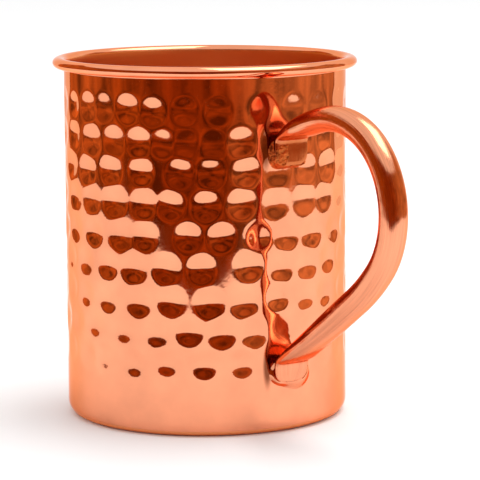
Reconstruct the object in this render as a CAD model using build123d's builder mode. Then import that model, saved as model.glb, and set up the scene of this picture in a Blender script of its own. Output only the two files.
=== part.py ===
from build123d import *
from math import atan2, degrees
import os

# A hammered copper mug. Millimetres, +Z up, origin at the centre of the base, handle towards +X.
os.makedirs("parts", exist_ok=True)

# Cup: one spun sheet.
OUTER_RADIUS = 40.0
HEIGHT = 102.0
SHEET = 0.8
HEEL_RADIUS = 3.75

# Rim: the sheet curled outwards into a hollow, slightly flattened bead.
BEAD_WIDTH = 4.0
BEAD_HEIGHT = 3.1
CURL_GAP = 0.12

# Hammer dimples: rings of shallow ball marks, alternate rings staggered by half a pitch.
DIMPLE_RINGS = 9
DIMPLES_PER_RING = 26
DIMPLE_FIRST_Z = 20.8
DIMPLE_RING_PITCH = 8.68
DIMPLE_DEPTH = 0.38
DIMPLE_BALL_RADIUS = 26.0

# Handle: a round tube, its ends flattened and bent down flush with the wall.
TUBE_DIAMETER = 7.7
FOOT_WIDTH = 10.8
FOOT_THICKNESS = 2.2
FOOT_BEND_RADIUS = 2.2
BRAZE_FILM = 0.3
UPPER_FOOT_END_Z = 74.2
UPPER_FOOT_LENGTH = 6.6
LOWER_FOOT_LENGTH = 4.6

# Handle centreline after the upper bend: it leaves the wall at this angle above the horizontal,
# then follows four arcs (radius, turn in degrees) and runs straight to the lower bend.
LEAVING_ANGLE = 31.8
ARCH_RADIUS, ARCH_TURN = 42.6, 22.7
SHOULDER_RADIUS, SHOULDER_TURN = 25.3, 42.9
BELLY_RADIUS, BELLY_TURN = 23.2, 96.9
THROAT_RADIUS, THROAT_TURN = 54.4, 14.1

# How the tube flattens towards each foot: distance from the bend, width, thickness.
UPPER_FLATTENING = [(5, 10.9, 4.9), (10, 9.6, 6.5), (18, 8.6, 6.8), (28, 8.2, 7.0)]
LOWER_FLATTENING = [(5, 10.1, 4.6), (12, 8.8, 6.2), (22, 8.1, 7.5)]
ROUND_FROM_UPPER_BEND = 38.0
ROUND_FROM_LOWER_BEND = 32.0
ROUND_SPANS = 4

# Braze collar round each foot: it fills the gap to the hammered wall and stands up round the edge.
BRAZE_MARGIN = 0.8
BRAZE_RISE = 0.9
BRAZE_CORNER = 3.4
BRAZE_BEVEL = 0.55
BRAZE_ROOT_R = OUTER_RADIUS - 0.7

# ---------------------------------------------------------------- cup body
inner_radius = OUTER_RADIUS - SHEET
bead_middle_r = inner_radius + BEAD_WIDTH / 2
bead_middle_z = HEIGHT - BEAD_HEIGHT / 2
hollow_half_width = BEAD_WIDTH / 2 - SHEET
hollow_half_height = BEAD_HEIGHT / 2 - SHEET
curl_end_r = OUTER_RADIUS + CURL_GAP
ball_middle_r = OUTER_RADIUS - DIMPLE_DEPTH + DIMPLE_BALL_RADIUS
dimple_step = 360 / DIMPLES_PER_RING

with BuildPart() as cup_body:
    with BuildSketch(Plane.XZ):
        with BuildLine():
            base_line = Line((0, 0), (OUTER_RADIUS - HEEL_RADIUS, 0))
            heel = JernArc(base_line @ 1, (1, 0), HEEL_RADIUS, 90)
            Polyline(
                heel @ 1, (OUTER_RADIUS, bead_middle_z),
                (inner_radius, bead_middle_z), (inner_radius, HEEL_RADIUS),
            )
            inner_heel = JernArc((inner_radius, HEEL_RADIUS), (0, -1), HEEL_RADIUS - SHEET, -90)
            Polyline(inner_heel @ 1, (0, SHEET), (0, 0))
        make_face()
    revolve(axis=Axis.Z)
    for ring in range(DIMPLE_RINGS):
        stagger = dimple_step / 2 * (ring % 2)
        with Locations((0, 0, DIMPLE_FIRST_Z + ring * DIMPLE_RING_PITCH)):
            with PolarLocations(ball_middle_r, DIMPLES_PER_RING, start_angle=stagger):
                Sphere(DIMPLE_BALL_RADIUS, mode=Mode.SUBTRACT)
    with BuildSketch(Plane.XZ):
        with Locations((bead_middle_r, bead_middle_z)):
            Ellipse(BEAD_WIDTH / 2, BEAD_HEIGHT / 2)
            Ellipse(hollow_half_width, hollow_half_height, mode=Mode.SUBTRACT)
        with Locations((0, HEIGHT - BEAD_HEIGHT)):
            Rectangle(curl_end_r, BEAD_HEIGHT / 2, align=(Align.MIN, Align.MIN), mode=Mode.SUBTRACT)
    revolve(axis=Axis.Z)

cup_body.part.label = "cup_body"
export_step(cup_body.part, "parts/cup_body.step")

# ---------------------------------------------------------------- handle
foot_middle_r = OUTER_RADIUS + BRAZE_FILM + FOOT_THICKNESS / 2

with BuildLine(Plane.XZ) as route:
    foot_line = Line(
        (foot_middle_r, UPPER_FOOT_END_Z), (foot_middle_r, UPPER_FOOT_END_Z + UPPER_FOOT_LENGTH),
    )
    bend = JernArc(foot_line @ 1, foot_line % 1, FOOT_BEND_RADIUS, LEAVING_ANGLE - 90)
    arch = JernArc(bend @ 1, bend % 1, ARCH_RADIUS, -ARCH_TURN)
    shoulder = JernArc(arch @ 1, arch % 1, SHOULDER_RADIUS, -SHOULDER_TURN)
    belly = JernArc(shoulder @ 1, shoulder % 1, BELLY_RADIUS, -BELLY_TURN)
    throat = JernArc(belly @ 1, belly % 1, THROAT_RADIUS, -THROAT_TURN)
    last = throat % 1
    bend_reach = FOOT_BEND_RADIUS * (1 + last.Z)
    straight_length = ((throat @ 1).X - foot_middle_r - bend_reach) / -last.X
    straight = Line(throat @ 1, (throat @ 1) + last * straight_length)
    lower_turn = degrees(atan2(-last.X, -last.Z))
    lower_bend = JernArc(straight @ 1, last, FOOT_BEND_RADIUS, lower_turn)
    lower_foot = Line(lower_bend @ 1, (lower_bend @ 1) - Vector(0, 0, LOWER_FOOT_LENGTH))
centreline = route.wire()
length = centreline.length
upper_bend_end = foot_line.length + bend.length
lower_bend_start = length - lower_foot.length - lower_bend.length

stations = [(upper_bend_end, FOOT_WIDTH, FOOT_THICKNESS)]
stations += [(upper_bend_end + gap, *size) for gap, *size in UPPER_FLATTENING]
round_start = upper_bend_end + ROUND_FROM_UPPER_BEND
round_step = (lower_bend_start - ROUND_FROM_LOWER_BEND - round_start) / ROUND_SPANS
for count in range(ROUND_SPANS + 1):
    stations.append((round_start + count * round_step, TUBE_DIAMETER, TUBE_DIAMETER))
stations += [(lower_bend_start - gap, *size) for gap, *size in reversed(LOWER_FLATTENING)]
stations += [(lower_bend_start, FOOT_WIDTH, FOOT_THICKNESS)]


def section_plane(place):
    """Plane square to the centreline, its x axis across the handle."""
    share = place / length
    return Plane(origin=centreline @ share, x_dir=(0, 1, 0), z_dir=centreline % share)


feet = (
    (Wire([foot_line, bend]), section_plane(0)),
    (Wire([lower_bend, lower_foot]), section_plane(lower_bend_start)),
)

with BuildPart() as handle:
    for place, width, thickness in stations:
        with BuildSketch(section_plane(place)):
            Ellipse(width / 2, thickness / 2)
    loft()
    for foot_path, start in feet:
        with BuildSketch(start):
            SlotOverall(FOOT_WIDTH, FOOT_THICKNESS)
        sweep(path=foot_path)

handle.part.label = "handle"
export_step(handle.part, "parts/handle.step")

# ---------------------------------------------------------------- braze
braze_front_r = OUTER_RADIUS + BRAZE_FILM + BRAZE_RISE
upper_foot_z = (UPPER_FOOT_END_Z, (bend @ 0.5).Z)
lower_foot_z = ((lower_foot @ 1).Z, (lower_bend @ 0.5).Z)
for name, (low, high) in (("upper_braze", upper_foot_z), ("lower_braze", lower_foot_z)):
    with BuildPart() as braze:
        with BuildSketch(Plane.YZ.offset(BRAZE_ROOT_R)):
            with Locations((0, (low + high) / 2)):
                RectangleRounded(
                    FOOT_WIDTH + 2 * BRAZE_MARGIN, high - low + 2 * BRAZE_MARGIN,
                    min(BRAZE_CORNER, (high - low) / 2),
                )
        extrude(amount=braze_front_r - BRAZE_ROOT_R)
        chamfer(braze.edges().group_by(Axis.X)[-1], BRAZE_BEVEL)
        add(cup_body.part, mode=Mode.SUBTRACT)
        add(handle.part, mode=Mode.SUBTRACT)
    braze.part.label = name
    export_step(braze.part, f"parts/{name}.step")
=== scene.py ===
import math

import bpy
import numpy as np
from mathutils import Matrix, Vector, noise


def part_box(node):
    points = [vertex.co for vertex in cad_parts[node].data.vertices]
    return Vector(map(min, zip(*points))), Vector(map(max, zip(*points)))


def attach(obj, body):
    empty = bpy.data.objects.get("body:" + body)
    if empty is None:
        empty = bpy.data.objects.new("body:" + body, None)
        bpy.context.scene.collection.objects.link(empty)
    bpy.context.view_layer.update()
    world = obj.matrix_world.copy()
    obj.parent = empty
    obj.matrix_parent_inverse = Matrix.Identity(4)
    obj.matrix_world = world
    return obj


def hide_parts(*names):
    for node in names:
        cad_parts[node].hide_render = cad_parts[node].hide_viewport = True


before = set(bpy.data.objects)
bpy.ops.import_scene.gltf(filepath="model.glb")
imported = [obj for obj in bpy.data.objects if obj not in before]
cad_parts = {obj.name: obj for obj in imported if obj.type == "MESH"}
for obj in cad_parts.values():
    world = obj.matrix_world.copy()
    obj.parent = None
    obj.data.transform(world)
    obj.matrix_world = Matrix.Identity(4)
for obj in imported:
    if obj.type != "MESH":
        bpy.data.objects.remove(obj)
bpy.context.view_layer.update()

# A hammered copper mug, in metres. Z is up, the cup's axis is Z and the handle is towards +X.
# Left and right are as the camera sees them.
MM = 0.001
RANDOM_SEED = 7
rng = np.random.default_rng(RANDOM_SEED)

# ------------------------------------------------------------------ sizes of the cup
OUTER_R = 40.0 * MM
SHEET = 0.8 * MM
INNER_R = OUTER_R - SHEET
HEEL_R = 3.75 * MM
BASE_R = OUTER_R - HEEL_R
TOP_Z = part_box("cup_body")[1][2]
BEAD_HALF_W = 2.0 * MM
BEAD_HALF_H = 1.55 * MM
BEAD_R = INNER_R + BEAD_HALF_W
BEAD_Z = TOP_Z - BEAD_HALF_H
# The wall runs a little way up into the rolled bead, whose edge stands just off the wall.
WALL_INTO_BEAD = 0.10 * MM
BEAD_OFF_WALL = 0.12 * MM

# Rings of points in each stretch of the cup, and the radii where the flat stretches begin.
COLUMNS = 432
BASE_ROWS = 4
HEEL_ROWS = 9
WALL_ROWS = 152
BEAD_ROWS = 19
INNER_ROWS = 26
INNER_HEEL_ROWS = 7
FLOOR_ROWS = 3
MIDDLE_R = 6 * MM
FLOOR_EDGE_R = 30 * MM

CAMERA_AZIMUTH = -34.0
# Hammer marks: each ring's height in mm, then the angles of the marks that show in the photo, in
# degrees right of the camera. The marks of the ring's other side are evenly spaced.
RINGS = (
    (20.8, (-56, -45, -30, -16, -1, 14)),
    (29.4, (-51, -35, -20, -7, 6, 19)),
    (37.7, (-57, -43, -28, -14, 1, 15)),
    (46.8, (-57, -43, -30, -16, -2, 17)),
    (55.3, (-66, -51, -36, -25, -7, 6, 21)),
    (64.4, (-66, -52, -39, -25, -14, 0, 14)),
    (72.8, (-69, -55, -41, -26, -10, 2, 16)),
    (80.9, (-66, -52, -39, -27, -17, -8, 3, 14)),
    (89.9, (-66, -54, -44, -32, -21, -8, 5, 22, 37, 51, 68)),
)
# The even marks' pitch in degrees, a mark's reach and depth in mm, and how far each one strays.
MARK_PITCH = 13.8
ANGLE_STRAY = 0.9
HEIGHT_STRAY = 0.3
MARK_REACH = 4.85
REACH_STRAY = 0.2
MARK_DEPTH = 0.56
DEPTH_STRAY = 0.06
DEEPEST_MARK = 0.66
BOWL_POWER = 1.8
# How much of a mark is raised again on the inside of the sheet.
SHOWS_INSIDE = 0.22

# Parts of the wall where the hammer fell more lightly. An ease is the share taken off the depth,
# and each pair says where it fades in and over how far, in mm of height or degrees of angle.
FRONT_EASE = 0.42
FRONT_MIDDLE = -3
FRONT_SPREAD = 13
FRONT_HEIGHTS = (58, 26)
BASE_EASE = 0.28
BASE_HEIGHTS = (48, -30)
SIDE_EASE = 0.52
SIDE_LEFT = (18, 6)
SIDE_RIGHT = (84, -8)
SIDE_HEIGHTS = (58, 8)
TOP_EASE = 0.15
TOP_HEIGHTS = (74, 8)
FAINT_EASE = 0.45
# Two marks that differ from those round them: angle, height and how near a mark has to be.
DEEP_MARK = (57.0, 72.8, 6)
FAINT_MARK = (-44.0, 89.9, 4)

# ------------------------------------------------------------------ sizes of the handle
FOOT_R = 41.4 * MM
FOOT_W = 10.8 * MM
FOOT_T = 2.2 * MM
FOOT_FRONT = FOOT_R + FOOT_T / 2
FOOT_BEND = 2.2 * MM
UPPER_TIP_Z = 74.2 * MM
LOWER_TIP_Z = 14.5 * MM
UPPER_FOOT = 6.6 * MM
LOWER_FOOT = 4.6 * MM
TUBE = 7.7 * MM
# Turns in degrees of the bend at the upper foot, of the arcs of the bow from the top down, each
# with its radius in mm, and of the bend at the lower foot.
UPPER_TURN = 58.2
BOW_ARCS = ((42.6, 22.7), (25.3, 42.9), (23.2, 96.9), (54.4, 14.1))
LOWER_TURN = UPPER_TURN + sum(turn for radius, turn in BOW_ARCS) - 180
PATH_STEP = 0.5 * MM
LEAST_LINE_STEPS = 2
LEAST_ARC_STEPS = 8
TUBE_COLUMNS = 72

# The handle's section in mm. Tips: distance from the tip and share of the foot's full measure.
TIP_WIDTHS = ((0, 0.30), (0.35, 0.62), (1.0, 0.82), (2.2, 0.96), (3.6, 1.0))
UPPER_TIP_THICKNESSES = ((0, 0.5), (0.35, 0.85), (1.0, 1.0))
LOWER_TIP_THICKNESSES = ((0, 0.15), (0.35, 0.22), (1.6, 0.35), (3.4, 0.7))
# Tapers: distance from the foot's bend and measure there, until the tube is round.
UPPER_WIDTHS = ((5, 10.9), (10, 9.6), (18, 8.6), (28, 8.1), (38, TUBE / MM))
LOWER_WIDTHS = ((5, 10.1), (12, 8.8), (22, 8.0), (32, TUBE / MM))
UPPER_THICKNESSES = ((5, 4.9), (10, 6.4), (18, 6.9), (28, 7.3), (38, TUBE / MM))
LOWER_THICKNESSES = ((5, 4.6), (12, 6.2), (22, 7.4), (32, TUBE / MM))
# Squareness is the power of the section's outline: 2 is an ellipse, and more is boxier.
TIP_SQUARENESS = ((0, 3.0),)
FOOT_SQUARENESS = 4.0
UPPER_SQUARENESS = ((6, 2.8), (14, 2.1), (22, 2.0))
LOWER_SQUARENESS = ((5, 2.8), (12, 2.2), (22, 2.0))

# ------------------------------------------------------------------ sizes of the braze
BRAZE_GRID = 84
SPREADS_PAST_FOOT = 2.0
GRID_ABOVE_FOOT = 1.0 * MM
FOOT_CORNER = 2.4 * MM
COLLAR_SUNK = 0.55 * MM
BACK_SUNK = 0.75 * MM
# Lumps and ragged edges: size of the noise, the slice of it that is used, and how far it moves
# the collar and the skin.
LUMP_SIZE = 1.3 * MM
LUMP_SLICE = 0.01
LUMP_SOFTNESS = 0.8
OCTAVE_RATIO = 2.0
LUMP_OCTAVES = 4
RAGGED_SIZE = 2.3 * MM
RAGGED_SLICE = 0.05
COLLAR_LUMPS = 0.10 * MM
COLLAR_RAGGED = 0.35 * MM
# The collar is narrow at the foot's left edge and widens to its full spread on the right.
NARROW_SPREAD = 0.62 * MM
WIDENS_FROM = -0.4875 * FOOT_W
WIDENS_OVER = 0.75 * FOOT_W
# The skin over the foot: where it ends across the foot and above the tip, and its thickness.
SKIN_END = -0.4 * MM
SKIN_RAGGED = 1.5 * MM
TIP_SKIN = 1.4 * MM
TIP_RAGGED = 1.0 * MM
SKIN_FADE = 1.2 * MM
SKIN_OVERHANG = 0.45 * MM
SKIN_THICKNESS = 0.12 * MM
SKIN_LUMPS = 0.20 * MM
THICKEST_SKIN = 0.3 * MM


# ------------------------------------------------------------------ helpers
def smooth_step(x):
    x = np.clip(x, 0.0, 1.0)
    return x * x * (3 - 2 * x)


def fade_in(value, start, over):
    """0 at start, 1 when over has passed; a negative over fades in towards smaller values."""
    return float(smooth_step((value - start) / over))


def mesh_object(name, vertices, faces):
    mesh = bpy.data.meshes.new(name)
    mesh.from_pydata([tuple(v) for v in vertices], [], faces)
    mesh.validate()
    mesh.update()
    mesh.polygons.foreach_set("use_smooth", np.ones(len(mesh.polygons), dtype=bool))
    piece = bpy.data.objects.new(name, mesh)
    bpy.context.scene.collection.objects.link(piece)
    return piece


def grid_faces(rows, columns, first=0, wrap=True):
    """Faces between rows of points, numbered row by row from first."""
    faces = []
    for row in range(rows - 1):
        for column in range(columns if wrap else columns - 1):
            beside = (column + 1) % columns
            faces.append((
                first + row * columns + column, first + row * columns + beside,
                first + (row + 1) * columns + beside, first + (row + 1) * columns + column,
            ))
    return faces


def closed_mesh(name, rings, first_middle, last_middle):
    """A skin over rings of points (row, column, xyz), closed by a fan at each end."""
    rows, columns = rings.shape[:2]
    vertices = np.vstack([rings.reshape(-1, 3), [first_middle, last_middle]])
    faces = grid_faces(rows, columns)
    first_end = rows * columns
    last_end = first_end + 1
    last_row = (rows - 1) * columns
    for column in range(columns):
        beside = (column + 1) % columns
        faces.append((first_end, beside, column))
        faces.append((last_end, last_row + column, last_row + beside))
    return mesh_object(name, vertices, faces)


# ------------------------------------------------------------------ cup
def stands_at(place, angle, height):
    """Whether a mark is the one that place picks out. Degrees and mm count alike."""
    return math.hypot(angle - place[0], height - place[1]) < place[2]


def blow_share(angle, height):
    """How hard the hammer fell here, as a share of a full blow."""
    front = FRONT_EASE * math.exp(-((angle - FRONT_MIDDLE) / FRONT_SPREAD) ** 2)
    front *= fade_in(height, *FRONT_HEIGHTS)
    base = BASE_EASE * fade_in(height, *BASE_HEIGHTS)
    side = SIDE_EASE * fade_in(angle, *SIDE_LEFT) * fade_in(angle, *SIDE_RIGHT)
    side *= fade_in(height, *SIDE_HEIGHTS)
    if stands_at(DEEP_MARK, angle, height):
        side = 0.0
    top = TOP_EASE * fade_in(height, *TOP_HEIGHTS)
    if stands_at(FAINT_MARK, angle, height):
        top = FAINT_EASE
    return (1 - front) * (1 - base) * (1 - side) * (1 - top)


def make_marks():
    """Each hammer mark: angle, height, reach, depth."""
    marks = []
    for height, angles in RINGS:
        left = 360 - (angles[-1] - angles[0])
        count = round(left / MARK_PITCH)
        rest = [angles[-1] + left * step / count for step in range(1, count)]
        for angle in list(angles) + [a + rng.normal(0, ANGLE_STRAY) for a in rest]:
            z = (height + rng.normal(0, HEIGHT_STRAY)) * MM
            reach = (MARK_REACH + rng.normal(0, REACH_STRAY)) * MM
            full_depth = min(MARK_DEPTH + rng.normal(0, DEPTH_STRAY), DEEPEST_MARK)
            depth = full_depth * blow_share(angle, height) * MM
            marks.append((math.radians(CAMERA_AZIMUTH + angle), z, reach, depth))
    return marks


def hammer_depth(angles, heights, marks):
    """How far each wall point is pushed in, for a grid of heights by angles."""
    push = np.zeros((len(heights), len(angles)))
    for angle, height, reach, depth in marks:
        rows = np.where(np.abs(heights - height) < reach)[0]
        around = (angles - angle + math.pi) % (2 * math.pi) - math.pi
        columns = np.where(np.abs(around) * OUTER_R < reach)[0]
        distance = np.hypot(
            (around[columns] * OUTER_R)[None, :], (heights[rows] - height)[:, None],
        ) / reach
        bowl = depth * np.clip(1 - distance ** 2, 0, 1) ** BOWL_POWER
        push[np.ix_(rows, columns)] = np.maximum(push[np.ix_(rows, columns)], bowl)
    return push


def arc_points(middle_r, middle_z, half_w, half_h, start, end, count):
    turn = np.radians(np.linspace(start, end, count))
    return [(middle_r + half_w * math.cos(t), middle_z + half_h * math.sin(t)) for t in turn]


def make_cup():
    """Rings from the middle of the base out, up the wall, over the bead and down inside."""
    marks = make_marks()
    angles = np.arange(COLUMNS) * 2 * math.pi / COLUMNS
    wall_top = BEAD_Z - BEAD_HALF_H + WALL_INTO_BEAD
    wall_z = np.linspace(HEEL_R, wall_top, WALL_ROWS)
    inner_z = np.linspace(wall_top, HEEL_R, INNER_ROWS)
    inner_heel = HEEL_R - SHEET
    curl = -math.degrees(math.acos((OUTER_R + BEAD_OFF_WALL - BEAD_R) / BEAD_HALF_W))
    rows = [(r, 0.0) for r in np.linspace(MIDDLE_R, BASE_R, BASE_ROWS)]
    rows += arc_points(BASE_R, HEEL_R, HEEL_R, HEEL_R, -90, 0, HEEL_ROWS)[1:-1]
    wall_first = len(rows)
    rows += [(OUTER_R, z) for z in wall_z]
    rows += arc_points(BEAD_R, BEAD_Z, BEAD_HALF_W, BEAD_HALF_H, curl, 180, BEAD_ROWS)
    inner_first = len(rows)
    rows += [(INNER_R, z) for z in inner_z]
    rows += arc_points(BASE_R, HEEL_R, inner_heel, inner_heel, 0, -90, INNER_HEEL_ROWS)[1:]
    rows += [(r, SHEET) for r in np.linspace(FLOOR_EDGE_R, MIDDLE_R, FLOOR_ROWS)]

    radius = np.array([r for r, z in rows])[:, None] * np.ones(COLUMNS)
    height = np.array([z for r, z in rows])[:, None] * np.ones(COLUMNS)
    radius[wall_first:wall_first + WALL_ROWS] -= hammer_depth(angles, wall_z, marks)
    raised = SHOWS_INSIDE * hammer_depth(angles, inner_z, marks)
    radius[inner_first:inner_first + INNER_ROWS] -= raised
    rings = np.stack([radius * np.cos(angles), radius * np.sin(angles), height], axis=-1)
    return closed_mesh("hammered_cup", rings, (0, 0, 0), (0, 0, SHEET))


# ------------------------------------------------------------------ handle
def handle_path():
    """Points, headings and running length of the handle's centreline, in the XZ plane."""
    point = np.array([FOOT_R, UPPER_TIP_Z])
    heading = math.pi / 2
    points, headings = [point], [heading]

    def add_line(run):
        nonlocal point
        count = max(LEAST_LINE_STEPS, int(run / PATH_STEP))
        way = np.array([math.cos(heading), math.sin(heading)])
        for step in range(1, count + 1):
            points.append(point + way * run * step / count)
            headings.append(heading)
        point = points[-1]

    def add_arc(radius, turn):
        nonlocal point, heading
        turn = math.radians(turn)
        side = math.copysign(1, turn)
        centre = point + side * radius * np.array([-math.sin(heading), math.cos(heading)])
        count = max(LEAST_ARC_STEPS, int(abs(turn) * radius / PATH_STEP))
        start = heading
        for step in range(1, count + 1):
            heading = start + turn * step / count
            off_centre = np.array([math.sin(heading), -math.cos(heading)])
            points.append(centre + side * radius * off_centre)
            headings.append(heading)
        point = points[-1]

    add_line(UPPER_FOOT)
    add_arc(FOOT_BEND, -UPPER_TURN)
    for radius, turn in BOW_ARCS:
        add_arc(radius * MM, -turn)
    bend_in = FOOT_BEND * (1 + math.sin(heading))
    add_line((point[0] - FOOT_R - bend_in) / -math.cos(heading))
    add_arc(FOOT_BEND, math.degrees(-math.pi / 2 - heading))
    add_line(LOWER_FOOT)
    points = np.array(points)
    run = np.concatenate([[0], np.cumsum(np.linalg.norm(np.diff(points, axis=0), axis=1))])
    return points, np.array(headings), run


def smooth_through(x, keys):
    """Monotone smooth interpolation through (place, value) keys."""
    places = np.array([place for place, value in keys], dtype=float)
    values = np.array([value for place, value in keys], dtype=float)
    slopes = np.zeros(len(keys))
    secants = np.diff(values) / np.diff(places)
    for i in range(1, len(keys) - 1):
        if secants[i - 1] * secants[i] > 0:
            slopes[i] = 2 * secants[i - 1] * secants[i] / (secants[i - 1] + secants[i])
    i = np.clip(np.searchsorted(places, x) - 1, 0, len(keys) - 2)
    gap = places[i + 1] - places[i]
    t = np.clip((x - places[i]) / gap, 0, 1)
    return (
        values[i] * (1 + 2 * t) * (1 - t) ** 2 + slopes[i] * gap * t * (1 - t) ** 2
        + values[i + 1] * t * t * (3 - 2 * t) + slopes[i + 1] * gap * t * t * (t - 1)
    )


def section_keys(places, foot, upper_tip, upper_taper, lower_taper, lower_tip):
    """Keys from tip to tip; places are where the bends meet the bow, and the lower tip."""
    bend_end, bend_start, total = places
    keys = list(upper_tip)
    keys += [(bend_end, foot)]
    keys += [(bend_end + past, value) for past, value in upper_taper]
    keys += [(bend_start - before, value) for before, value in reversed(lower_taper)]
    keys += [(bend_start, foot)]
    keys += [(total - before, value) for before, value in reversed(lower_tip)]
    return keys


def shares_of(full, tip):
    return [(place, full * share) for place, share in tip]


def unwrap_tube(tube, rows, columns):
    """U goes once round the tube and V runs along it."""
    layer = tube.data.uv_layers.new(name="UVMap")
    for polygon in tube.data.polygons:
        corners = [
            divmod(tube.data.loops[loop].vertex_index, columns) for loop in polygon.loop_indices
        ]
        around = [column for row, column in corners]
        seam = max(around) == columns - 1 and min(around) == 0
        for loop, (row, column) in zip(polygon.loop_indices, corners):
            turn = column + (columns if seam and column == 0 else 0)
            layer.data[loop].uv = (turn / columns, min(row, rows - 1) / rows)


def squared(wave, power):
    """A cosine or sine raised so that its outline has the given squareness."""
    return np.sign(wave) * np.abs(wave) ** (2 / power)


def make_handle():
    """A tube that is flattened at both feet, swept along the path."""
    points, headings, run = handle_path()
    along = run / MM
    total = along[-1]
    bend_end = (UPPER_FOOT + FOOT_BEND * math.radians(UPPER_TURN)) / MM
    bend_start = total - (LOWER_FOOT + FOOT_BEND * math.radians(LOWER_TURN)) / MM
    places = (bend_end, bend_start, total)
    foot_w = FOOT_W / MM
    foot_t = FOOT_T / MM
    tip_widths = shares_of(foot_w, TIP_WIDTHS)
    widths = section_keys(places, foot_w, tip_widths, UPPER_WIDTHS, LOWER_WIDTHS, tip_widths)
    thicknesses = section_keys(
        places, foot_t, shares_of(foot_t, UPPER_TIP_THICKNESSES),
        UPPER_THICKNESSES, LOWER_THICKNESSES, shares_of(foot_t, LOWER_TIP_THICKNESSES),
    )
    squareness = section_keys(
        places, FOOT_SQUARENESS, TIP_SQUARENESS,
        UPPER_SQUARENESS, LOWER_SQUARENESS, TIP_SQUARENESS,
    )
    width = smooth_through(along, widths) * MM
    thickness = smooth_through(along, thicknesses) * MM
    square = smooth_through(along, squareness)
    around = np.linspace(0, 2 * math.pi, TUBE_COLUMNS, endpoint=False)
    rings = []
    for (r, z), heading, w, t, power in zip(points, headings, width, thickness, square):
        across = squared(np.cos(around), power) * w / 2
        through = squared(np.sin(around), power) * t / 2
        ring_x = r - np.sin(heading) * through
        ring_z = z + np.cos(heading) * through
        rings.append(np.stack([ring_x, across, ring_z], axis=-1))
    rings = np.array(rings)
    tube = closed_mesh("bent_handle", rings, rings[0].mean(axis=0), rings[-1].mean(axis=0))
    unwrap_tube(tube, len(rings), TUBE_COLUMNS)
    return tube


# ------------------------------------------------------------------ braze
def gap_to_foot(y, z, low, high):
    """Distance from the round-cornered outline of a foot, negative on the foot itself."""
    off_y = max(abs(y) - FOOT_W / 2 + FOOT_CORNER, 0)
    off_z = max(abs(z - (low + high) / 2) - (high - low) / 2 + FOOT_CORNER, 0)
    return math.hypot(off_y, off_z) - FOOT_CORNER


def grid_edge(count):
    """The points round the edge of a square grid, in order."""
    edge = list(range(count))
    edge += [row * count + count - 1 for row in range(1, count)]
    edge += [(count - 1) * count + column for column in range(count - 2, -1, -1)]
    edge += [row * count for row in range(count - 2, 0, -1)]
    return edge


def make_braze(name, low, high, cover, rise, spread, roughness, fall):
    """Filler round the foot between low and high. A collar of the given rise and spread loses the
    share fall of its height from low to high, and a rough skin lies over the foot's left part and
    lowest part (cover 0 to 1)."""
    half = FOOT_W / 2 + SPREADS_PAST_FOOT * spread
    narrow = min(spread, NARROW_SPREAD)
    front, back = [], []
    for z in np.linspace(low - SPREADS_PAST_FOOT * spread, high + GRID_ABOVE_FOOT, BRAZE_GRID):
        for y in np.linspace(-half, half, BRAZE_GRID):
            lump_place = Vector((y, z, LUMP_SLICE)) / LUMP_SIZE
            lump = noise.fractal(lump_place, LUMP_SOFTNESS, OCTAVE_RATIO, LUMP_OCTAVES)
            ragged = noise.noise(Vector((y, z, RAGGED_SLICE)) / RAGGED_SIZE)
            gap = gap_to_foot(y, z, low, high)
            wall = math.sqrt(OUTER_R ** 2 - y * y)
            reach = narrow + (spread - narrow) * fade_in(y, WIDENS_FROM, WIDENS_OVER)
            ring = rise + COLLAR_RAGGED * roughness * ragged
            ring *= math.exp(-(max(gap, 0) / reach) ** 2)
            ring *= 1 - fall * fade_in(z, low, high - low)
            depth = wall - COLLAR_SUNK + ring + COLLAR_LUMPS * roughness * lump
            left_skin = fade_in(y, SKIN_END + SKIN_RAGGED * ragged, -SKIN_FADE)
            tip_skin = fade_in(z, low + TIP_SKIN + TIP_RAGGED * ragged, -SKIN_FADE)
            skin = cover * max(left_skin, tip_skin)
            skin *= fade_in(gap, SKIN_OVERHANG, -2 * SKIN_OVERHANG)
            face = FOOT_FRONT + SKIN_THICKNESS + SKIN_LUMPS * lump
            depth = min(depth + skin * (face - depth), FOOT_FRONT + THICKEST_SKIN)
            front.append((depth, y, z))
            back.append((wall - BACK_SUNK, y, z))
    faces = grid_faces(BRAZE_GRID, BRAZE_GRID, wrap=False)
    behind = grid_faces(BRAZE_GRID, BRAZE_GRID, first=len(front), wrap=False)
    faces += [tuple(reversed(face)) for face in behind]
    edge = grid_edge(BRAZE_GRID)
    for here, beyond in zip(edge, edge[1:] + edge[:1]):
        faces.append((beyond, here, here + len(front), beyond + len(front)))
    return mesh_object(name, front + back, faces)


# ------------------------------------------------------------------ materials
COPPER_COLOUR = (0.92, 0.352, 0.192)
EDGE_COLOUR = (1.0, 0.62, 0.45)
INNER_COLOUR = (1.0, 0.44, 0.19)
BRAZE_COLOUR = (0.56, 0.14, 0.035)
# Tone of the painted shade on the wall beside each foot of the handle.
PAINTED_SHADE_TONE = (0.13, 0.022, 0.005)
# Tone of the painted shade over the handle's upper foot and its bend.
PAINTED_FOOT_TONE = (0.48, 0.10, 0.015)
# Gains on a colour, and roughnesses, at the two ends of the noise that varies them.
CUP_GAINS = (0.87, 1.06)
HANDLE_GAINS = (0.78, 1.05)
BRAZE_GAINS = (0.5, 1.5)
GAIN_STOPS = (0.3, 0.7)
POLISHED_ROUGHNESS = (0.035, 0.075)
SPUN_ROUGHNESS = (0.24, 0.46)
HANDLE_ROUGHNESS = (0.07, 0.19)
BRAZE_ROUGHNESS = (0.22, 0.42)
# Stretched noise: long waves up the wall, and fine lines along the tube and round the inside.
UP_THE_WALL = (1, 1, 0.35)
ROUND_THE_INSIDE = (1, 1, 22)
ALONG_THE_TUBE = (70, 7, 1)
# The finish turns from polished to spun between these distances from the cup's axis.
POLISHED_R = 39.31 * MM
SPUN_R = 39.25 * MM
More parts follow.
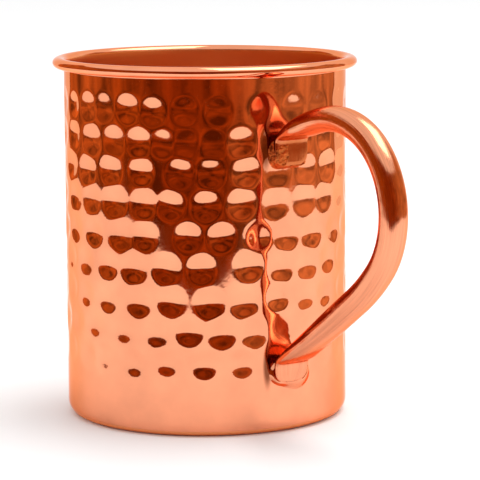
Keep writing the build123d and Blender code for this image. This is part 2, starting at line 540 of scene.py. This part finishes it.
# Painted shade on the wall, at the left edge of each foot, and on the handle: middle and reach.
# On the wall it stands for the handle's dark reflection and contact shadow.
PAINTED_FOOT_SHADES = (
    ((39.6 * MM, -6.9 * MM, 79.5 * MM), (3 * MM, 2.3 * MM, 8 * MM)),
    ((39.6 * MM, -3.8 * MM, 85.0 * MM), (3 * MM, 5.0 * MM, 5.5 * MM)),
    ((39.6 * MM, -6.6 * MM, 19.0 * MM), (3 * MM, 1.7 * MM, 7.5 * MM)),
    ((39.6 * MM, -3.6 * MM, 22.8 * MM), (3 * MM, 4.2 * MM, 6.5 * MM)),
)
# Painted shade over the handle's upper foot and its bend.
HANDLE_PAINTED_SHADE = ((FOOT_R, 0, UPPER_TIP_Z + 3.8 * MM), (3.5 * MM, 13 * MM, 9 * MM))
# A patch of painted shade is at its strongest out to this share of its reach, and then fades.
SHADE_CORE = 0.35
SHADE_STRENGTH = 0.85
# The Mix node's sockets for colours.
MIX_FIRST = 6
MIX_SECOND = 7
MIX_RESULT = 2


def material(name):
    made = bpy.data.materials.new(name)
    made.use_nodes = True
    return made, made.node_tree.nodes, made.node_tree.links


def ranged(nodes, links, value, start, end, first, second):
    """Goes from first to second as value goes from start to end."""
    made = nodes.new("ShaderNodeMapRange")
    made.inputs["From Min"].default_value = start
    made.inputs["From Max"].default_value = end
    made.inputs["To Min"].default_value = first
    made.inputs["To Max"].default_value = second
    links.new(value, made.inputs["Value"])
    return made


def mixed(nodes, links, share, first, second):
    """first where share is 0, second where it is 1."""
    return ranged(nodes, links, share, 0.0, 1.0, first, second).outputs["Result"]


def blended(nodes, links, share, colour, tone):
    """A linked colour where share is 0, one plain tone where it is 1."""
    made = nodes.new("ShaderNodeMix")
    made.data_type = "RGBA"
    links.new(share, made.inputs["Factor"])
    links.new(colour, made.inputs[MIX_FIRST])
    made.inputs[MIX_SECOND].default_value = (*tone, 1)
    return made.outputs[MIX_RESULT]


def vector_step(nodes, links, operation, value, constant=(0, 0, 0)):
    made = nodes.new("ShaderNodeVectorMath")
    made.operation = operation
    links.new(value, made.inputs[0])
    made.inputs[1].default_value = constant
    return made.outputs


def noise_of(nodes, links, where, scale, detail, stretch=(1, 1, 1)):
    spread = nodes.new("ShaderNodeMapping")
    spread.inputs["Scale"].default_value = stretch
    links.new(where, spread.inputs["Vector"])
    made = nodes.new("ShaderNodeTexNoise")
    made.inputs["Scale"].default_value = scale
    made.inputs["Detail"].default_value = detail
    links.new(spread.outputs["Vector"], made.inputs["Vector"])
    return made.outputs["Fac"]


def bump_of(nodes, links, height, distance, below=None):
    made = nodes.new("ShaderNodeBump")
    made.inputs["Distance"].default_value = distance
    links.new(height, made.inputs["Height"])
    if below is not None:
        links.new(below, made.inputs["Normal"])
    return made.outputs["Normal"]


def tinted(nodes, links, share, colour, gains):
    """A colour made darker and lighter by the noise in share."""
    ramp = nodes.new("ShaderNodeValToRGB")
    for stop, place, gain in zip(ramp.color_ramp.elements, GAIN_STOPS, gains):
        stop.position = place
        stop.color = (*[min(1.0, channel * gain) for channel in colour], 1)
    links.new(share, ramp.inputs["Fac"])
    return ramp.outputs["Color"]


def metal(name):
    made, nodes, links = material(name)
    shader = nodes["Principled BSDF"]
    shader.inputs["Metallic"].default_value = 1.0
    shader.inputs["Specular Tint"].default_value = (*EDGE_COLOUR, 1)
    where = nodes.new("ShaderNodeTexCoord").outputs
    return made, nodes, links, shader, where


def painted_shade_patch(nodes, links, where, colour, place, reach, tone):
    """Painted shade: colour darkened to tone in a soft ellipsoid about place."""
    moved = vector_step(nodes, links, "SUBTRACT", where, place)["Vector"]
    scaled = vector_step(nodes, links, "DIVIDE", moved, reach)["Vector"]
    size = vector_step(nodes, links, "LENGTH", scaled)["Value"]
    fade = ranged(nodes, links, size, SHADE_CORE, 1.0, SHADE_STRENGTH, 0.0)
    fade.interpolation_type = "SMOOTHSTEP"
    return blended(nodes, links, fade.outputs["Result"], colour, tone)


def spun_share(nodes, links, where):
    """1 on the inner side of the sheet and 0 on the outer side."""
    split = nodes.new("ShaderNodeSeparateXYZ")
    links.new(where, split.inputs["Vector"])
    flat = nodes.new("ShaderNodeCombineXYZ")
    links.new(split.outputs["X"], flat.inputs["X"])
    links.new(split.outputs["Y"], flat.inputs["Y"])
    from_axis = vector_step(nodes, links, "LENGTH", flat.outputs["Vector"])["Value"]
    inside = ranged(nodes, links, from_axis, POLISHED_R, SPUN_R, 0.0, 1.0)
    above_base = nodes.new("ShaderNodeMath")
    above_base.operation = "GREATER_THAN"
    above_base.inputs[1].default_value = SHEET / 2
    links.new(split.outputs["Z"], above_base.inputs[0])
    both = nodes.new("ShaderNodeMath")
    both.operation = "MULTIPLY"
    links.new(inside.outputs["Result"], both.inputs[0])
    links.new(above_base.outputs["Value"], both.inputs[1])
    return both.outputs["Value"]


def cup_metal(name, colour):
    """Mirror polish outside, a duller spun finish inside the cup."""
    made, nodes, links, shader, where = metal(name)
    place = where["Object"]
    spun = spun_share(nodes, links, place)
    cloud = noise_of(nodes, links, place, scale=80.0, detail=5.0)
    toned_and_shaded = tinted(nodes, links, cloud, colour, CUP_GAINS)
    # Painted shade on the wall beside each foot of the handle.
    for middle, reach in PAINTED_FOOT_SHADES:
        toned_and_shaded = painted_shade_patch(nodes, links, place, toned_and_shaded, middle, reach, PAINTED_SHADE_TONE)
    coloured = blended(nodes, links, spun, toned_and_shaded, INNER_COLOUR)
    links.new(coloured, shader.inputs["Base Color"])
    turning = noise_of(nodes, links, place, scale=60.0, detail=4.0, stretch=ROUND_THE_INSIDE)
    rough = nodes.new("ShaderNodeMix")
    links.new(spun, rough.inputs["Factor"])
    links.new(mixed(nodes, links, cloud, *POLISHED_ROUGHNESS), rough.inputs["A"])
    links.new(mixed(nodes, links, turning, *SPUN_ROUGHNESS), rough.inputs["B"])
    links.new(rough.outputs["Result"], shader.inputs["Roughness"])
    waves = noise_of(nodes, links, place, scale=60.0, detail=2.0, stretch=UP_THE_WALL)
    grain = noise_of(nodes, links, place, scale=420.0, detail=3.0)
    wavy = bump_of(nodes, links, waves, distance=0.22 * MM)
    grainy = bump_of(nodes, links, grain, distance=0.012 * MM, below=wavy)
    links.new(grainy, shader.inputs["Normal"])
    return made


def handle_metal(name, colour):
    """Rubbed copper: fine lines along the tube, duller in patches, with painted shade over the
    upper foot.
    """
    made, nodes, links, shader, where = metal(name)
    place = where["Object"]
    cloud = noise_of(nodes, links, place, scale=70.0, detail=4.0)
    lines = noise_of(nodes, links, where["UV"], scale=1.0, detail=8.0, stretch=ALONG_THE_TUBE)
    rubbed = tinted(nodes, links, lines, colour, HANDLE_GAINS)
    # Painted shade over the upper foot and its bend.
    foot_shaded = painted_shade_patch(nodes, links, place, rubbed, *HANDLE_PAINTED_SHADE, PAINTED_FOOT_TONE)
    links.new(foot_shaded, shader.inputs["Base Color"])
    links.new(mixed(nodes, links, cloud, *HANDLE_ROUGHNESS), shader.inputs["Roughness"])
    lumps = noise_of(nodes, links, place, scale=110.0, detail=2.0)
    lumpy = bump_of(nodes, links, lumps, distance=0.12 * MM)
    lined = bump_of(nodes, links, lines, distance=0.06 * MM, below=lumpy)
    links.new(lined, shader.inputs["Normal"])
    return made


def braze_metal(name, colour):
    """Dull speckled filler metal."""
    made, nodes, links, shader, where = metal(name)
    speckle = noise_of(nodes, links, where["Object"], scale=900.0, detail=4.0)
    links.new(tinted(nodes, links, speckle, colour, BRAZE_GAINS), shader.inputs["Base Color"])
    links.new(mixed(nodes, links, speckle, *BRAZE_ROUGHNESS), shader.inputs["Roughness"])
    links.new(bump_of(nodes, links, speckle, distance=0.6 * MM), shader.inputs["Normal"])
    return made


# ------------------------------------------------------------------ the mug
def dress(piece, made, node):
    piece.data.materials.append(made)
    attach(piece, "root")
    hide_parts(node)


cup_copper = cup_metal("polished_copper", COPPER_COLOUR)
handle_copper = handle_metal("handle_copper", COPPER_COLOUR)
braze_copper = braze_metal("braze_metal", BRAZE_COLOUR)

dress(make_cup(), cup_copper, "cup_body")
dress(make_handle(), handle_copper, "handle")
# The upper filler is a rough bead that runs over the foot. The lower one is a smooth fillet.
upper_bead = make_braze(
    "upper_braze_bead", low=UPPER_TIP_Z, high=UPPER_TIP_Z + UPPER_FOOT,
    cover=1.0, rise=1.25 * MM, spread=0.62 * MM, roughness=1.0, fall=0.0,
)
dress(upper_bead, braze_copper, "upper_braze")
lower_bead = make_braze(
    "lower_braze_bead", low=LOWER_TIP_Z, high=LOWER_TIP_Z + LOWER_FOOT,
    cover=0.0, rise=1.95 * MM, spread=2.3 * MM, roughness=0.2, fall=0.5,
)
dress(lower_bead, handle_copper, "lower_braze")

# ------------------------------------------------------------------ stage
FLOOR_COLOUR = (0.93, 0.93, 0.93)
FLOOR_ROUGHNESS = 0.6
FLOOR_SHINE = 0.2
# The near table as the wall mirrors it: (right of, behind) the mug as the camera sees it.
TABLE = (
    (-0.45, -0.19), (-0.25, -0.31), (-0.045, -0.245), (0.16, -0.325), (0.52, -0.33),
    (0.50, 0.10), (0.46, 0.9), (-0.30, 0.9), (-0.45, 0.42), (-0.52, 0.09),
)
# The far floor lies just under the table, and isn't mirrored.
FLOOR_REACH = 6
FLOOR_DROP = 0.0004
FLOOR_CORNERS = ((-1, -1), (1, -1), (1, 1), (-1, 1))

# The dark room is a curved screen in front of the mug, its span in degrees right of the camera.
SCREEN_R = 1.6
SCREEN_SPAN = (-142.0, 130.0)
SCREEN_STEPS = 61
SCREEN_HEIGHTS = (-1.2, 1.3)
# Its colours from left to right, and the noise that makes parts of it brighter.
SCREEN_COLOURS = (
    (0.0, (0.52, 0.20, 0.05)), (0.25, (0.34, 0.085, 0.01)), (0.42, (0.22, 0.040, 0.003)),
    (0.58, (0.26, 0.052, 0.005)), (0.70, (0.48, 0.19, 0.06)), (1.0, (0.60, 0.30, 0.13)),
)
CLUTTER_STRETCH = (1.9, 1.3, 1)
CLUTTER_SPAN = (0.35, 0.65)
CLUTTER_GLOW = (0.40, 1.60)

DAYLIGHT = 1.0
SOFTBOX_WIDTH = 1.3
SOFTBOX_DEPTH = 0.9
SOFTBOX_WATTS = 13.0
SOFTBOX_PLACE = (0.5, 0.1, 1.5)
SOFTBOX_AIM = (0, 0, 0.05)


def plain(name, colour, roughness, shine):
    made, nodes, links = material(name)
    shader = nodes["Principled BSDF"]
    shader.inputs["Base Color"].default_value = (*colour, 1)
    shader.inputs["Roughness"].default_value = roughness
    shader.inputs["Specular IOR Level"].default_value = shine
    return made


def flat_panel(name, corners, made):
    panel = mesh_object(name, corners, [tuple(range(len(corners)))])
    panel.data.materials.append(made)
    return panel


def turned(x, y, z):
    """A point given as (towards the camera's right, away from the camera, up)."""
    way = math.radians(CAMERA_AZIMUTH)
    right = np.array([-math.sin(way), math.cos(way)])
    away = np.array([-math.cos(way), -math.sin(way)])
    flat = right * x + away * y
    return (flat[0], flat[1], z)


def screen_glow(name):
    """The dim warm room in front of the table: darkest ahead, lighter towards the right."""
    made, nodes, links = material(name)
    nodes.remove(nodes["Principled BSDF"])
    shine = nodes.new("ShaderNodeEmission")
    where = nodes.new("ShaderNodeUVMap")
    split = nodes.new("ShaderNodeSeparateXYZ")
    links.new(where.outputs["UV"], split.inputs["Vector"])
    ramp = nodes.new("ShaderNodeValToRGB")
    stops = ramp.color_ramp.elements
    for index, (place, colour) in enumerate(SCREEN_COLOURS):
        stop = stops[index] if index < len(stops) else stops.new(place)
        stop.position = place
        stop.color = (*colour, 1)
    links.new(split.outputs["X"], ramp.inputs["Fac"])
    links.new(ramp.outputs["Color"], shine.inputs["Color"])
    clutter = noise_of(
        nodes, links, where.outputs["UV"], scale=12.0, detail=4.0, stretch=CLUTTER_STRETCH,
    )
    strength = ranged(nodes, links, clutter, *CLUTTER_SPAN, *CLUTTER_GLOW)
    links.new(strength.outputs["Result"], shine.inputs["Strength"])
    links.new(shine.outputs["Emission"], nodes["Material Output"].inputs["Surface"])
    return made


def make_screen(name):
    """The copper mirrors it, but the camera doesn't see it, and it neither lights nor shades the
    floor."""
    turns = np.radians(np.linspace(*SCREEN_SPAN, SCREEN_STEPS))
    corners = [
        turned(SCREEN_R * math.sin(turn), -SCREEN_R * math.cos(turn), height)
        for height in SCREEN_HEIGHTS for turn in turns
    ]
    faces = grid_faces(len(SCREEN_HEIGHTS), SCREEN_STEPS, wrap=False)
    screen = mesh_object(name, corners, faces)
    layer = screen.data.uv_layers.new(name="UVMap")
    for loop in screen.data.loops:
        row, column = divmod(loop.vertex_index, SCREEN_STEPS)
        layer.data[loop.index].uv = (column / (SCREEN_STEPS - 1), row)
    screen.data.materials.append(screen_glow("warm_room"))
    screen.visible_camera = False
    screen.visible_diffuse = False
    screen.visible_shadow = False
    screen.visible_transmission = False


floor_white = plain("floor_white", FLOOR_COLOUR, FLOOR_ROUGHNESS, FLOOR_SHINE)
flat_panel("floor_near", [turned(*corner, 0) for corner in TABLE], floor_white)
far_corners = [(x * FLOOR_REACH, y * FLOOR_REACH, -FLOOR_DROP) for x, y in FLOOR_CORNERS]
floor = flat_panel("floor_far", far_corners, floor_white)
floor.visible_glossy = False
make_screen("dark_screen")

world = bpy.data.worlds.new("studio")
bpy.context.scene.world = world
world.use_nodes = True
world.node_tree.nodes["Background"].inputs["Color"].default_value = (1, 1, 1, 1)
world.node_tree.nodes["Background"].inputs["Strength"].default_value = DAYLIGHT

key = bpy.data.lights.new("softbox", "AREA")
key.shape = "RECTANGLE"
key.size = SOFTBOX_WIDTH
key.size_y = SOFTBOX_DEPTH
key.energy = SOFTBOX_WATTS
key_lamp = bpy.data.objects.new("softbox", key)
bpy.context.scene.collection.objects.link(key_lamp)
key_lamp.location = turned(*SOFTBOX_PLACE)
key_way = Vector(SOFTBOX_AIM) - Vector(key_lamp.location)
key_lamp.rotation_euler = key_way.to_track_quat("-Z", "Y").to_euler()

# ------------------------------------------------------------------ camera
CAMERA_DISTANCE = 722.0 * MM
CAMERA_HEIGHT = 157.2 * MM
AIM_RIGHT = 9.72 * MM
AIM_HEIGHT = 48.94 * MM
CAMERA_ROLL = math.radians(-0.305)
LENS_MM = 190.9
SENSOR_MM = 36.0
CLIP_NEAR = 0.01
CLIP_FAR = 50

camera_data = bpy.data.cameras.new("camera")
camera_data.lens = LENS_MM
camera_data.sensor_width = SENSOR_MM
camera_data.clip_start = CLIP_NEAR
camera_data.clip_end = CLIP_FAR
camera = bpy.data.objects.new("camera", camera_data)
bpy.context.scene.collection.objects.link(camera)
eye = Vector(turned(0, -CAMERA_DISTANCE, CAMERA_HEIGHT))
aim = Vector(turned(AIM_RIGHT, 0, AIM_HEIGHT))
forward = (aim - eye).normalized()
right = forward.cross(Vector((0, 0, 1))).normalized()
up = right.cross(forward)
tilted_right = right * math.cos(CAMERA_ROLL) + up * math.sin(CAMERA_ROLL)
tilted_up = up * math.cos(CAMERA_ROLL) - right * math.sin(CAMERA_ROLL)
axes = Matrix((tilted_right, tilted_up, -forward)).transposed().to_4x4()
camera.matrix_world = Matrix.Translation(eye) @ axes
bpy.context.scene.camera = camera
bpy.context.scene.view_settings.view_transform = "Standard"

bpy.context.view_layer.update()
